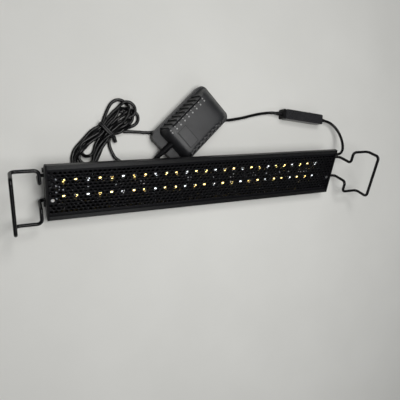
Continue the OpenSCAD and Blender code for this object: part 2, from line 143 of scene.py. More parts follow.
def surface(name, dark, light, rough, grain, bump, patch=0.15, stretch=(1, 1, 1), turn=(0, 0, 0),
            metal=0.0, specular=0.5, painted_glint=None, painted_glint_strength=0.0):
    """A moulded, cast or coated surface, with patchy colour between dark and light.

    A fine grain, in cycles per millimetre, varies its roughness and stands out by bump mm.
    """
    material = bpy.data.materials.new(name)
    material.use_nodes = True
    tree = material.node_tree
    shader = tree.nodes["Principled BSDF"]
    shader.inputs["Metallic"].default_value = metal
    shader.inputs["Specular IOR Level"].default_value = specular
    # The glow is a painted glint: small reflections of the lamps, given off as light by these unlit
    # parts.
    if painted_glint:
        shader.inputs["Emission Color"].default_value = (*painted_glint, 1)
        shader.inputs["Emission Strength"].default_value = painted_glint_strength
    vector = place_mm(tree, stretch, turn)
    patches = noise(tree, vector, patch, PATCH_DETAIL)
    tree.links.new(mixed(tree, patches, dark, light).outputs["Color"], shader.inputs["Base Color"])
    fine = noise(tree, vector, grain, GRAIN_DETAIL)
    tree.links.new(map_range(tree, fine, new=rough), shader.inputs["Roughness"])
    bumps = tree.nodes.new("ShaderNodeBump")
    bumps.inputs["Strength"].default_value = 1.0
    bumps.inputs["Distance"].default_value = bump * MM
    tree.links.new(fine, bumps.inputs["Height"])
    tree.links.new(bumps.outputs["Normal"], shader.inputs["Normal"])
    return material


def clear_sheet(name):
    """Clear acrylic, slightly cloudy, that lets light through."""
    material = surface(name, dark=(0.86, 0.88, 0.9), light=(0.95, 0.96, 0.97), rough=(0.02, 0.06),
                       grain=0.4, bump=0.002)
    shader = material.node_tree.nodes["Principled BSDF"]
    shader.inputs["Transmission Weight"].default_value = 1.0
    shader.inputs["IOR"].default_value = 1.04
    return material


# Draws the extrusion's grain out along the bar
ALONG_BAR = (14, 0.25, 0.25)
LOOKS = {
    "anodised": dict(
        dark=(0.006, 0.006, 0.0065), light=(0.011, 0.011, 0.0115), rough=(0.26, 0.36), grain=1.5,
        bump=0.004, patch=0.05, stretch=ALONG_BAR, specular=0.36),
    "cap": dict(
        dark=(0.004, 0.004, 0.0045), light=(0.007, 0.007, 0.0075), rough=(0.36, 0.5), grain=5.0,
        bump=0.01, patch=0.2, specular=0.16),
    "black_steel": dict(
        dark=(0.02, 0.02, 0.022), light=(0.05, 0.05, 0.052), rough=(0.3, 0.5), grain=3.0,
        bump=0.006, patch=0.6, metal=0.6),
    "grille": dict(
        dark=(0.004, 0.004, 0.0052), light=(0.007, 0.007, 0.0085), rough=(0.28, 0.4), grain=4.0,
        bump=0.006, patch=0.3, specular=0.12),
    "seal": dict(
        dark=(0.05, 0.05, 0.052), light=(0.08, 0.08, 0.082), rough=(0.6, 0.8), grain=4.0,
        bump=0.02, patch=0.5),
    "bright_steel": dict(
        dark=(0.5, 0.5, 0.5), light=(0.7, 0.7, 0.7), rough=(0.28, 0.42), grain=3.0, bump=0.004,
        patch=0.8, metal=1.0),
    # Near black: painted shade for the board in the dim space under the punched sheet.
    "board": dict(
        dark=(0.003, 0.003, 0.0035), light=(0.006, 0.006, 0.007), rough=(0.5, 0.65), grain=3.0,
        bump=0.006, patch=0.4, specular=0.06),
    # The pads' faint glow is a painted glint.
    "tin": dict(
        dark=(0.6, 0.62, 0.66), light=(0.85, 0.86, 0.88), rough=(0.15, 0.3), grain=3.0,
        bump=0.02, patch=0.8, painted_glint=(0.9, 0.93, 1.0), painted_glint_strength=0.15),
    "package": dict(
        dark=(0.7, 0.7, 0.68), light=(0.86, 0.86, 0.84), rough=(0.3, 0.4), grain=4.0, bump=0.004,
        patch=0.5),
    # The phosphor's and the clear gel's glow is a painted glint, for the lamps' reflections in the
    # LED domes.
    "phosphor": dict(
        dark=(0.85, 0.55, 0.08), light=(0.98, 0.76, 0.2), rough=(0.12, 0.2), grain=4.0,
        bump=0.006, patch=1.0, painted_glint=(1.0, 0.72, 0.22), painted_glint_strength=9.0),
    "clear_gel": dict(
        dark=(0.7, 0.78, 0.9), light=(0.9, 0.95, 1.0), rough=(0.08, 0.14), grain=3.0, bump=0.004,
        patch=0.8, painted_glint=(0.93, 0.96, 1.0), painted_glint_strength=3.5),
    "chip": dict(
        dark=(0.01, 0.01, 0.01), light=(0.03, 0.03, 0.03), rough=(0.3, 0.5), grain=4.0,
        bump=0.006, patch=0.8),
    "nylon": dict(
        dark=(0.03, 0.03, 0.032), light=(0.045, 0.045, 0.048), rough=(0.4, 0.55), grain=4.0,
        bump=0.01, patch=0.6),
    "wire": dict(
        dark=(0.003, 0.003, 0.0035), light=(0.005, 0.005, 0.0055), rough=(0.12, 0.2), grain=1.2,
        bump=0.03, patch=0.25, specular=0.25),
    "rubber": dict(
        dark=(0.004, 0.004, 0.005), light=(0.008, 0.008, 0.009), rough=(0.3, 0.42), grain=4.0,
        bump=0.02, patch=0.3, specular=0.2),
    "jacket": dict(
        dark=(0.003, 0.003, 0.0035), light=(0.006, 0.006, 0.0065), rough=(0.14, 0.22), grain=2.2,
        bump=0.02, patch=0.12, specular=0.28),
    "control": dict(
        dark=(0.013, 0.013, 0.015), light=(0.02, 0.02, 0.022), rough=(0.24, 0.34), grain=7.0,
        bump=0.012, patch=0.15, specular=0.6),
    "green_board": dict(
        dark=(0.01, 0.12, 0.04), light=(0.02, 0.18, 0.07), rough=(0.3, 0.4), grain=3.0,
        bump=0.01, patch=0.6),
    "adapter": dict(
        dark=(0.013, 0.0135, 0.015), light=(0.021, 0.0215, 0.024), rough=(0.34, 0.46), grain=5.0,
        bump=0.03, patch=0.08, specular=0.5),
    # The lower shell is the same plastic as the upper, coloured darker as painted shade.
    "adapter_base": dict(
        dark=(0.009, 0.0095, 0.011), light=(0.015, 0.0155, 0.017), rough=(0.36, 0.5), grain=5.0,
        bump=0.03, patch=0.08, specular=0.4),
    "plate": dict(
        dark=(0.016, 0.0165, 0.018), light=(0.024, 0.0245, 0.027), rough=(0.3, 0.42), grain=4.0,
        bump=0.01, patch=0.2),
    # Light grey: a painted highlight on each small stud of the dark adapter.
    "painted_stud_highlight": dict(
        dark=(0.28, 0.28, 0.28), light=(0.42, 0.42, 0.42), rough=(0.25, 0.35), grain=4.0,
        bump=0.006, patch=0.6),
    "tan_board": dict(
        dark=(0.25, 0.16, 0.05), light=(0.34, 0.24, 0.09), rough=(0.5, 0.65), grain=3.0,
        bump=0.02, patch=0.4),
    "tape": dict(
        dark=(0.6, 0.42, 0.04), light=(0.75, 0.56, 0.08), rough=(0.25, 0.35), grain=1.0,
        bump=0.03, patch=0.3),
    "sleeve": dict(
        dark=(0.02, 0.05, 0.2), light=(0.04, 0.09, 0.3), rough=(0.2, 0.3), grain=2.0, bump=0.01,
        patch=0.5),
    "nickel": dict(
        dark=(0.55, 0.53, 0.48), light=(0.7, 0.68, 0.62), rough=(0.18, 0.3), grain=3.0,
        bump=0.004, patch=0.4, stretch=(6, 1, 1), turn=(0, 0, ADAPTER_TURN), metal=1.0),
    "tie": dict(
        dark=(0.008, 0.008, 0.009), light=(0.014, 0.014, 0.015), rough=(0.26, 0.36), grain=2.0,
        bump=0.02, patch=0.5),
}
MATERIALS = {name: surface(name, **look) for name, look in LOOKS.items()}
MATERIALS["clear"] = clear_sheet("clear")

NODE_FINISH = {
    "housing": "anodised", "end_cap_left": "cap", "end_cap_right": "cap",
    "end_cap_screws": "black_steel", "clear_cover": "clear", "cover_seal": "seal",
    "grille_screws": "bright_steel", "led_board": "board", "board_resistors": "chip",
    "board_screws": "black_steel", "inner_wires": "wire", "leg_bushes": "nylon",
    "bracket_left": "wire", "bracket_right": "wire", "bar_gland": "rubber",
    "controller_upper_case": "control", "controller_lower_case": "control",
    "controller_end_cap": "cap", "controller_board": "green_board",
    "controller_button": "rubber", "controller_grommets": "rubber",
    "adapter_strain_relief": "rubber", "adapter_upper_shell": "adapter",
    "adapter_lower_shell": "adapter_base", "adapter_label_plate": "plate",
    "adapter_board": "tan_board", "adapter_transformer": "tape", "adapter_capacitors": "sleeve",
    "prong_blades": "nickel", "prong_bar": "nylon", "prong_pin": "bright_steel",
    "leds_white": "phosphor", "leds_blue": "clear_gel", "front_grille": "grille",
    "lead_to_controller": "jacket", "lead_under_adapter": "jacket", "cord_hank": "jacket",
    "lead_to_adapter": "jacket", "twist_tie": "tie",
}


def finish_nodes():
    for name, finish in NODE_FINISH.items():
        data = nodes[name].data
        data.materials.clear()
        data.materials.append(MATERIALS[finish])


finish_nodes()


# ---- building helpers ----

def link(name, data, finish=None):
    made = bpy.data.objects.new(name, data)
    bpy.context.scene.collection.objects.link(made)
    if finish:
        data.materials.append(MATERIALS[finish])
    return made


def from_bmesh(name, mesh, finish, place=None, angle=40):
    """Turns a bmesh, drawn in the frame at place, into an object in the shared frame."""
    if place is not None:
        bmesh.ops.transform(mesh, matrix=place, verts=mesh.verts)
    bmesh.ops.recalc_face_normals(mesh, faces=mesh.faces)
    data = bpy.data.meshes.new(name)
    mesh.to_mesh(data)
    mesh.free()
    data.shade_smooth()
    data.set_sharp_from_angle(angle=math.radians(angle))
    return link(name, data, finish)


def add_ring_loft(mesh, rings, close_start=True, close_end=True):
    """Joins rings of points, all with the same count, into a tube, and closes its ends."""
    made = [[mesh.verts.new(p) for p in ring] for ring in rings]
    count = len(made[0])
    for a, b in zip(made, made[1:]):
        for i in range(count):
            j = (i + 1) % count
            mesh.faces.new((a[i], a[j], b[j], b[i]))
    if close_start:
        mesh.faces.new(made[0])
    if close_end:
        mesh.faces.new(made[-1])
    return made


def rounded_ring(size_x, size_y, radius, z, cx=0.0, cy=0.0, steps=3):
    """Points of a rectangle with round corners, in the plane at z."""
    ring = []
    for k, (sx, sy) in enumerate([(1, 1), (-1, 1), (-1, -1), (1, -1)]):
        for i in range(steps + 1):
            a = math.radians(90 * k + 90 * i / steps)
            ring.append(Vector((
                cx + sx * (size_x / 2 - radius) + radius * math.cos(a),
                cy + sy * (size_y / 2 - radius) + radius * math.sin(a),
                z,
            )))
    return ring


ROUND_ANGLE = math.radians(35)


def round_edges(piece, width):
    """A small round along every sharp edge."""
    bevel = piece.modifiers.new("round", "BEVEL")
    bevel.width = width
    bevel.segments = 2
    bevel.limit_method = "ANGLE"
    bevel.angle_limit = ROUND_ANGLE
    bevel.harden_normals = False


def smooth_curve(name, points, radius, finish, around=6, along=6):
    """A round tube on one smooth curve through the points."""
    data = bpy.data.curves.new(name, "CURVE")
    data.dimensions = "3D"
    data.bevel_depth = radius
    data.bevel_resolution = around
    data.resolution_u = along
    data.use_fill_caps = True
    spline = data.splines.new("BEZIER")
    spline.bezier_points.add(len(points) - 1)
    for knot, point in zip(spline.bezier_points, points):
        knot.co = point
        knot.handle_left_type = "AUTO"
        knot.handle_right_type = "AUTO"
    return link(name, data, finish)


# ---- cords ----

LEAD = 3.2 * MM
ROUTE_TO_CONTROLLER = [
    (0.161, 0.0241, 0.0237), (0.166, 0.025, 0.0233), (0.1706, 0.0282, 0.022),
    (0.174, 0.033, 0.0196), (0.1766, 0.0396, 0.016), (0.1776, 0.0466, 0.0122),
    (0.1764, 0.0534, 0.009), (0.1726, 0.0594, 0.0068), (0.1666, 0.0638, 0.0054),
    (0.1594, 0.0661, 0.0048),
]
ROUTE_UNDER_ADAPTER = [
    (0.091, 0.0755, 0.0048), (0.085, 0.0762, 0.0034), (0.078, 0.076, 0.002),
    (0.068, 0.075, 0.0017), (0.058, 0.0732, 0.0017), (0.048, 0.0712, 0.0017),
    (0.038, 0.0697, 0.0017), (0.029, 0.0687, 0.0017), (0.019, 0.0686, 0.0017),
    (0.009, 0.0692, 0.0017), (-0.001, 0.07, 0.0017), (-0.011, 0.0704, 0.0017),
    (-0.021, 0.0698, 0.0017), (-0.031, 0.0678, 0.0017), (-0.041, 0.0644, 0.0017),
    (-0.05, 0.0604, 0.0017), (-0.059, 0.0576, 0.0017), (-0.068, 0.0574, 0.0017),
    (-0.076, 0.0584, 0.0017), (-0.085, 0.0594, 0.0017), (-0.0945, 0.0598, 0.0017),
]
ROUTE_TO_ADAPTER = [
    (-0.1066, 0.0514, 0.0017), (-0.1054, 0.044, 0.0017), (-0.1024, 0.0372, 0.0017),
    (-0.097, 0.0316, 0.0017), (-0.0904, 0.0274, 0.0017), (-0.084, 0.024, 0.0017),
    (-0.077, 0.0224, 0.002), (-0.0704, 0.0232, 0.0028), (-0.0649, 0.0263, 0.0041),
    (-0.0616, 0.0292, 0.0048),
]

# The hank's middle line: curved below its tie, straight above it
HANK_LOWER = [(-0.132, 0.028), (-0.1245, 0.042), (-0.1155, 0.0523), (-0.1065, 0.0606)]
HANK_TURN = math.radians(42)
LOW, MIDDLE, TOP = 1.7 * MM, 4.5 * MM, 7.0 * MM

# One row a turn, in millimetres along and across the middle line:
# where the strand passes the tie going down, its lower fold (along, across, radius, height),
# where it passes the tie going up, and its upper fold (along, across, radius, three heights)
HANK_TURNS = [
    ((-3.2, LOW), (-41.5, 0, 9.7, LOW), (6.4, LOW), (23.5, 4.4, 11.8, (LOW, MIDDLE, TOP))),
    ((-4.8, MIDDLE), (-39.5, 0, 7.8, MIDDLE), (4.8, MIDDLE), (33, -1.5, 7.2, (TOP, TOP, MIDDLE))),
    ((-1.6, MIDDLE), (-35, 0, 7.4, LOW), (3.2, LOW), (21, -3.0, 7.4, (LOW, LOW, LOW))),
    ((-3.2, TOP), (-40.5, 0, 8.8, TOP), (1.2, TOP), (27, -3.5, 7.6, (MIDDLE, LOW, LOW))),
    ((0, LOW), (-28, 1.5, 7.4, TOP), (1.6, MIDDLE), (29.5, -9.0, 7.6, (MIDDLE, LOW, LOW))),
]
HANK_LEAVES = (-6.6, 4.2 * MM)
STRAND_SHARES = (0.3, 0.65)
FOLD_STEPS = 4
CURVE_STEPS = 16


def evenly_along(points, spacing):
    """Points a fixed distance apart on the smooth curve through the given points."""
    points = [Vector(p) for p in points]
    fine = [points[0]]
    for i in range(len(points) - 1):
        p = [points[max(i - 1, 0)], points[i], points[i + 1], points[min(i + 2, len(points) - 1)]]
        for k in range(1, CURVE_STEPS + 1):
            t = k / CURVE_STEPS
            fine.append(0.5 * ((2 * p[1]) + (p[2] - p[0]) * t
                               + (2 * p[0] - 5 * p[1] + 4 * p[2] - p[3]) * t * t
                               + (3 * p[1] - p[0] - 3 * p[2] + p[3]) * t ** 3))
    fine = np.array([tuple(p) for p in fine])
    along = np.concatenate([[0], np.cumsum(np.linalg.norm(np.diff(fine, axis=0), axis=1))])
    count = int(round(along[-1] / spacing)) + 1
    wanted = np.linspace(0, along[-1], count)
    return np.stack([np.interp(wanted, along, fine[:, k]) for k in range(3)], axis=1)


# The middle line below the tie, a point each millimetre, from the tie to past the lowest fold.
# Its curve starts a little above the tie, so that it leaves the tie in the right direction.
LINE_BEFORE, LINE_AFTER = 12, 20
HANK_DIRECTION = Vector((math.cos(HANK_TURN), math.sin(HANK_TURN)))
_above = Vector(HANK_LOWER[-1]) + HANK_DIRECTION * LINE_BEFORE * MM
_below = [Vector(p) for p in reversed(HANK_LOWER)]
_last = _below[-1] + (_below[-1] - _below[-2]).normalized() * LINE_AFTER * MM
LOWER_LINE = evenly_along([(*p, 0) for p in [_above, *_below, _last]], 1 * MM)
_from_above = np.linalg.norm(LOWER_LINE[:, :2] - np.array(_below[0]), axis=1)
LOWER_LINE = LOWER_LINE[int(np.argmin(_from_above)):]


def on_middle_line(along, across):
    """A point in plan, so far along the hank's middle line from its tie, and across from it."""
    if along >= 0:
        direction = HANK_DIRECTION
        place = Vector(HANK_LOWER[-1]) + direction * along
    else:
        step = min(-along / MM, len(LOWER_LINE) - 3)
        i = max(int(step), 1)
        gap = Vector((LOWER_LINE[i + 1] - LOWER_LINE[i])[:2])
        place = Vector(LOWER_LINE[i][:2]) + (step - i) * gap
        direction = Vector((LOWER_LINE[i - 1] - LOWER_LINE[i + 1])[:2]).normalized()
    side = Vector((-direction.y, direction.x))
    return place + side * across


def hank_point(along, across, height):
    plan = on_middle_line(along * MM, across * MM)
    return Vector((plan.x, plan.y, height))


def strand(start, end):
    """Two points between two (along, across, height) places."""
    return [hank_point(*(a + (b - a) * share for a, b in zip(start, end)))
            for share in STRAND_SHARES]


def fold(along, across, radius, heights, upward):
    """Half a turn at the hank's end, clockwise from above, through three heights."""
    sign = 1 if upward else -1
    points = []
    for i in range(FOLD_STEPS + 1):
        a = math.radians(180 * i / FOLD_STEPS)
        level = i / (FOLD_STEPS / 2)
        part = int(min(level, 1))
        low, high = heights[part], heights[part + 1]
        height = low + (high - low) * (level - part)
        points.append((along + sign * radius * math.sin(a),
                       across + sign * radius * math.cos(a), height))
    return points


def hank_points():
    """The hank's route, from its first strand at the tie to the strand that leaves it."""
    points = []
    last = None
    for down, lower, up, upper in HANK_TURNS:
        low_fold = fold(*lower[:3], (lower[3],) * 3, upward=False)
        high_fold = fold(*upper, upward=True)
        down_tie = (0, *down)
        up_tie = (0, *up)
        if last:
            points += strand(last, down_tie)
        points.append(hank_point(*down_tie))
        points += strand(down_tie, low_fold[0])
        points += [hank_point(*p) for p in low_fold]
        points += strand(low_fold[-1], up_tie)
        points.append(hank_point(*up_tie))
        points += strand(up_tie, high_fold[0])
        points += [hank_point(*p) for p in high_fold]
        last = high_fold[-1]
    return points + strand(last, (0, *HANK_LEAVES)) + [hank_point(0, *HANK_LEAVES)]


# How the laid cord settles: shares of each fault put right in a round, and lengths
SETTLE_ROUNDS = 220
SMOOTHING = 0.35
SINK = 0.03 * MM
PULL_BACK = 0.008
PUSH_APART = 0.4
CLEARANCE = LEAD * 1.01
SAME_STRAND = 3 * LEAD
TIGHTEST = 10 * MM
EASE_MIDDLE, EASE_ENDS = 0.5, 0.25
EASE_REACHES = (2, 3, 4)
NO_LENGTH = 1e-9

# The space inside the tie, along and across the hank, how near it a strand counts, and its top
TIE_ALONG, TIE_NEAR = 2.5 * MM, 14 * MM
TIE_ACROSS, TIE_CEILING = 7.0 * MM, 7.1 * MM
LOWEST = LEAD / 2 + 0.12 * MM


def settled(points, spacing, free):
    """The cord laid down: strands push apart, keep their length, bend smoothly and sink.

    The points that aren't free stay where they are, and strands at the tie stay in it.
    """
    laid = points.copy()
    start = points.copy()
    count = len(laid)
    loose = free[:, None].astype(float)
    order = np.arange(count)
    near = np.abs(np.subtract.outer(order, order)) * spacing < SAME_STRAND
    tie = np.array([*HANK_LOWER[-1], 0])
    direction = np.array([math.cos(HANK_TURN), math.sin(HANK_TURN), 0])
    side = np.array([-direction[1], direction[0], 0])
    for _ in range(SETTLE_ROUNDS):
        bend = np.zeros_like(laid)
        bend[1:-1] = (laid[:-2] + laid[2:]) / 2 - laid[1:-1]
        laid += SMOOTHING * bend * loose
        laid[:, 2] -= SINK * loose[:, 0]
        laid[:, :2] += PULL_BACK * (start[:, :2] - laid[:, :2]) * loose

        # Strands that overlap push each other apart
        apart = laid[:, None, :] - laid[None, :, :]
        distance = np.linalg.norm(apart, axis=2) + near
        overlap = np.clip(CLEARANCE - distance, 0, None)
        push = (apart / distance[:, :, None] * overlap[:, :, None]).sum(axis=1)
        laid += PUSH_APART * push * loose

        # Bends tighter than the tightest one open up
        for reach in EASE_REACHES:
            deepest = TIGHTEST * (1 - math.cos(reach * spacing / TIGHTEST))
            middle = (laid[:-2 * reach] + laid[2 * reach:]) / 2 - laid[reach:-reach]
            depth = np.linalg.norm(middle, axis=1, keepdims=True)
            ease = middle * np.clip(1 - deepest / np.maximum(depth, NO_LENGTH), 0, None)
            laid[reach:-reach] += EASE_MIDDLE * ease * loose[reach:-reach]
            laid[:-2 * reach] -= EASE_ENDS * ease * loose[:-2 * reach]
            laid[2 * reach:] -= EASE_ENDS * ease * loose[2 * reach:]

        # Each step gets its length back, the even ones and then the odd ones, twice
        for first in (0, 1, 0, 1):
            step = laid[first + 1::2] - laid[first:-1:2][:len(laid[first + 1::2])]
            size = np.linalg.norm(step, axis=1, keepdims=True)
            change = 0.5 * (1 - spacing / size) * step
            part = loose[first:-1:2][:len(step)]
            laid[first:-1:2][:len(step)] += change * part
            laid[first + 1::2] -= change * loose[first + 1::2]

        # Strands at the tie stay inside it, and none goes through the table
        away = laid - tie
        across = away @ side
        beside = np.abs(away @ direction) < TIE_ALONG
        in_tie = beside & (np.linalg.norm(away, axis=1) < TIE_NEAR) & free
        over = np.clip(np.abs(across) - TIE_ACROSS, 0, None) * np.sign(across)
        laid[in_tie] -= (over[:, None] * side)[in_tie]
        laid[:, 2] = np.where(in_tie, np.minimum(laid[:, 2], TIE_CEILING), laid[:, 2])
        laid[:, 2] = np.where(free, np.maximum(laid[:, 2], LOWEST), laid[:, 2])
    return laid


short_lead = smooth_curve("lead_to_controller_jacket", ROUTE_TO_CONTROLLER, LEAD / 2, "jacket")
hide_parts("lead_to_controller")
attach(short_lead, "root")

# Only the hank is free to settle: the long lead's first and last stretches are held
HELD_FIRST, HELD_LAST = 0.165, 0.045

long_points = evenly_along(ROUTE_UNDER_ADAPTER + hank_points() + ROUTE_TO_ADAPTER[1:], 2.4 * MM)
SPACING = float(np.linalg.norm(np.diff(long_points, axis=0), axis=1).mean())
_from_start = np.arange(len(long_points)) * SPACING
FREE = (_from_start > HELD_FIRST) & (_from_start < _from_start[-1] - HELD_LAST)
long_points = settled(long_points, SPACING, FREE)
long_points = np.concatenate([long_points[:-1:2], long_points[-1:]])
long_lead = smooth_curve("lead_to_adapter_jacket", [tuple(p) for p in long_points], LEAD / 2,
                         "jacket", along=4)
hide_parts("lead_under_adapter", "cord_hank", "lead_to_adapter")
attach(long_lead, "root")


# ---- twist tie ----

TIE_WIRE = 0.95 * MM
TIE_HALF = 8.7 * MM
TIE_TOP = 9.6 * MM
TIE_LEFT = Vector((-0.0980, 0.0492, 1.6 * MM))
TIE_STEPS = 32
TIE_DRIFT = 3.4 * MM
TIE_SQUARE = 0.75
KNOT_OUT, KNOT_HEIGHT = 1.2 * MM, 5.2 * MM
TAIL_STEPS = 16
TAIL_WIDTH = TIE_WIRE * 1.05
TAIL_DEGREES = 60


def squared(value):
    """A sine or cosine drawn out, so that a circle gets nearer to a square."""
    return math.copysign(abs(value) ** TIE_SQUARE, value)


def twist_tie_points():
    """In along the twisted tail, almost twice round the hank, and out along the tail."""
    tie = Vector((*HANK_LOWER[-1], 0))
    direction = Vector((math.cos(HANK_TURN), math.sin(HANK_TURN), 0))
    side = Vector((-direction.y, direction.x, 0))
    knot = tie - side * (TIE_HALF + KNOT_OUT) + Vector((0, 0, KNOT_HEIGHT))
    tail = TIE_LEFT - knot
    axis = tail.normalized()
    first = axis.cross(Vector((0, 0, 1))).normalized()
    second = axis.cross(first)

    def twisted(phase):
        points = []
        for i in range(TAIL_STEPS + 1):
            a = phase + math.radians(TAIL_DEGREES * i)
            out = (first * math.cos(a) + second * math.sin(a)) * TAIL_WIDTH
            points.append(knot + tail * (i / TAIL_STEPS) + out)
        return points

    loop = []
    for i in range(1, TIE_STEPS):
        a = math.radians(180 - 720 * i / TIE_STEPS)
        across = TIE_HALF * squared(math.cos(a))
        height = TIE_TOP / 2 + squared(math.sin(a)) * (TIE_TOP / 2 - TIE_WIRE)
        drift = (i / TIE_STEPS - 0.5) * TIE_DRIFT
        loop.append(tie + side * across + direction * drift + Vector((0, 0, height)))
    return twisted(0)[::-1] + loop + twisted(math.pi)


tie_wire = smooth_curve("twist_tie_wire", twist_tie_points(), TIE_WIRE, "tie", around=3, along=3)
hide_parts("twist_tie")
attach(tie_wire, "root")


# ---- punched front sheet ----

HOLE_PITCH = 4.34 * MM
ROW_PITCH = 3.14 * MM
HOLE_LONG, HOLE_WIDE = 1.72 * MM, 1.36 * MM
# The least metal past a hole: at the sheet's ends, and at its sides
END_MARGIN, SIDE_MARGIN = 0.35 * MM, 1.0 * MM
# A cell whose middle is this near an end, or a screw, gets no hole
END_SOLID = 0.9 * MM
SCREW_SOLID = 2.6 * MM
SHEET_MIDDLE = -1.7 * MM
SHEET_THICK = 0.8 * MM
SHEET_HALF_WIDTH = 24.2 * MM
SCREW_FROM_END = 3.3 * MM
SCREW_Y = -7.0 * MM
WELD = 0.01 * MM


def clamped(value, limit):
    return min(max(value, -limit), limit)


def cell_outline(tall):
    """A six-sided cell's corners and the middles of its edges, from its own middle."""
    short = ROW_PITCH - tall
    corners = [(HOLE_PITCH / 2, short), (0, tall), (-HOLE_PITCH / 2, short),
               (-HOLE_PITCH / 2, -short), (0, -tall), (HOLE_PITCH / 2, -short)]
    outline = []
    for i, corner in enumerate(corners):
        after = corners[(i + 1) % len(corners)]
        outline += [corner, ((corner[0] + after[0]) / 2, (corner[1] + after[1]) / 2)]
    return outline


def punched_sheet():
    """A sheet with staggered holes, whose outer cells end at the sheet's edges."""
    low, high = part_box("front_grille")
    half_x, half_y = (high.x - low.x) / 2, SHEET_HALF_WIDTH
    screw_x = half_x - SCREW_FROM_END
    mesh = bmesh.new()
    tall = (HOLE_PITCH ** 2 / 4 + ROW_PITCH ** 2) / (2 * ROW_PITCH)
    outline = cell_outline(tall)
    rows = int(half_y / ROW_PITCH) + 2
    columns = int(half_x / HOLE_PITCH) + 2
    for row in range(-rows, rows + 1):
        for column in range(-columns, columns + 1):
            x = (column + (row % 2) / 2) * HOLE_PITCH
            y = row * ROW_PITCH
            if abs(x) > half_x + HOLE_PITCH / 2 or abs(y) > half_y + tall:
                continue
            ring = [mesh.verts.new((clamped(x + dx, half_x), clamped(y + dy, half_y), SHEET_MIDDLE))
                    for dx, dy in outline]
            at_end = abs(x) > half_x - END_SOLID
            at_side = abs(y) > half_y - HOLE_WIDE - SIDE_MARGIN
            at_screw = math.hypot(abs(x) - screw_x, y - SCREW_Y) < SCREW_SOLID
            if at_end or at_side or at_screw:
                mesh.faces.new(ring)
                continue
            hole = []
            for dx, dy in outline:
                a = math.atan2(dy, dx)
                hx = clamped(x + HOLE_LONG * math.cos(a), half_x - END_MARGIN)
                hole.append(mesh.verts.new((hx, y + HOLE_WIDE * math.sin(a), SHEET_MIDDLE)))
            for i in range(len(outline)):
                j = (i + 1) % len(outline)
                mesh.faces.new((ring[i], ring[j], hole[j], hole[i]))
    bmesh.ops.remove_doubles(mesh, verts=mesh.verts, dist=WELD)
    bmesh.ops.dissolve_degenerate(mesh, edges=mesh.edges, dist=WELD)
    sheet = from_bmesh("front_sheet", mesh, "grille", BAR_FRAME)
    thick = sheet.modifiers.new("thickness", "SOLIDIFY")
    thick.thickness = SHEET_THICK
    thick.offset = 0
    return sheet


front_sheet = punched_sheet()
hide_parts("front_grille")
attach(front_sheet, "root")


# ---- LEDs ----

LED_PITCH = 10.9 * MM
LED_SHIFT = -2.2 * MM
LED_ROW = 7.9 * MM
LED_COUNT = 27
# Every third LED along a row is a clear one
LED_GROUP = 3
LED_LOW = -9.9 * MM
LED_SIZE = (3.4 * MM, 2.8 * MM)
LED_TOP_SIZE = (LED_SIZE[0] - 0.2 * MM, LED_SIZE[1] - 0.2 * MM)
LED_CORNER, LED_TOP_CORNER = 0.25 * MM, 0.3 * MM
LED_SHOULDER, LED_TOP = 0.75 * MM, 0.85 * MM
# Radius and height of the well's rim and floor, and of the drop of gel in it
LED_WELL = ((1.3 * MM, LED_TOP), (1.2 * MM, 0.55 * MM))
LED_GEL = ((1.24 * MM, 0.6 * MM), (1.16 * MM, 0.8 * MM), (0.9 * MM, 0.95 * MM),
           (0.5 * MM, 1.0 * MM))
CIRCLE_POINTS = 16


def circle(radius, z):
    """Points of a circle, turned to meet the points of a rounded_ring."""
    angles = [math.radians(360 * i / CIRCLE_POINTS + 45 / 4) for i in range(CIRCLE_POINTS)]
    return [Vector((radius * math.cos(a), radius * math.sin(a), z)) for a in angles]


def add_led(mesh, x, y):
    """A white package with a round well, and a drop of gel in the well."""
    place = Matrix.Translation((x, y, LED_LOW))
    body = [rounded_ring(*LED_SIZE, LED_CORNER, 0),
            rounded_ring(*LED_SIZE, LED_CORNER, LED_SHOULDER),
            rounded_ring(*LED_TOP_SIZE, LED_TOP_CORNER, LED_TOP),
            *(circle(*ring) for ring in LED_WELL)]
    made = add_ring_loft(mesh, body, close_end=False)
    first = len(mesh.faces)
    drop = add_ring_loft(mesh, [circle(*ring) for ring in LED_GEL])
    mesh.faces.ensure_lookup_table()
    for face in mesh.faces[first:]:
        face.material_index = 1
    for ring in made + drop:
        for vert in ring:
            vert.co = place @ vert.co


def led_rows(name, wanted, gel):
    mesh = bmesh.new()
    for row in (-1, 1):
        for i in range(LED_COUNT):
            if i % LED_GROUP in wanted:
                add_led(mesh, LED_SHIFT + (i - (LED_COUNT - 1) / 2) * LED_PITCH, row * LED_ROW)
    rows = from_bmesh(name, mesh, "package", BAR_FRAME)
    rows.data.materials.append(MATERIALS[gel])
    return rows


for _name, _node, _wanted, _gel, _slot in (
        ("led_packages_white", "leds_white", (0, 1), "phosphor", "phosphor"),
        ("led_packages_blue", "leds_blue", (2,), "clear_gel", "led_clear")):
    _rows = led_rows(_name, _wanted, _gel)
    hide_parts(_node)
    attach(_rows, "root")


# All in millimetres: places along the bar, and then (length, width) of a pad
RESISTORS = (-146, -70, -20, 30, 58, 120, 128)
RESISTOR_PAD = (1.0, 1.3)
PAD_OFFSETS = (-1.6, 1.6)
WIRES_X, WIRES_Y = -150.2, (-9.5, -3.2, 3.2, 9.5)
WIRE_PAD = (1.6, 2.2)
TEST_POINTS = (-122, -96, 8, 74, 92, 104)
TEST_PAD = (1.4, 1.0)
# Height, share of the pad's size and corner radius of each ring of a pad
PAD_RINGS = ((0, 1, 0.25), (0.12, 1, 0.25), (0.3, 0.6, 0.2))


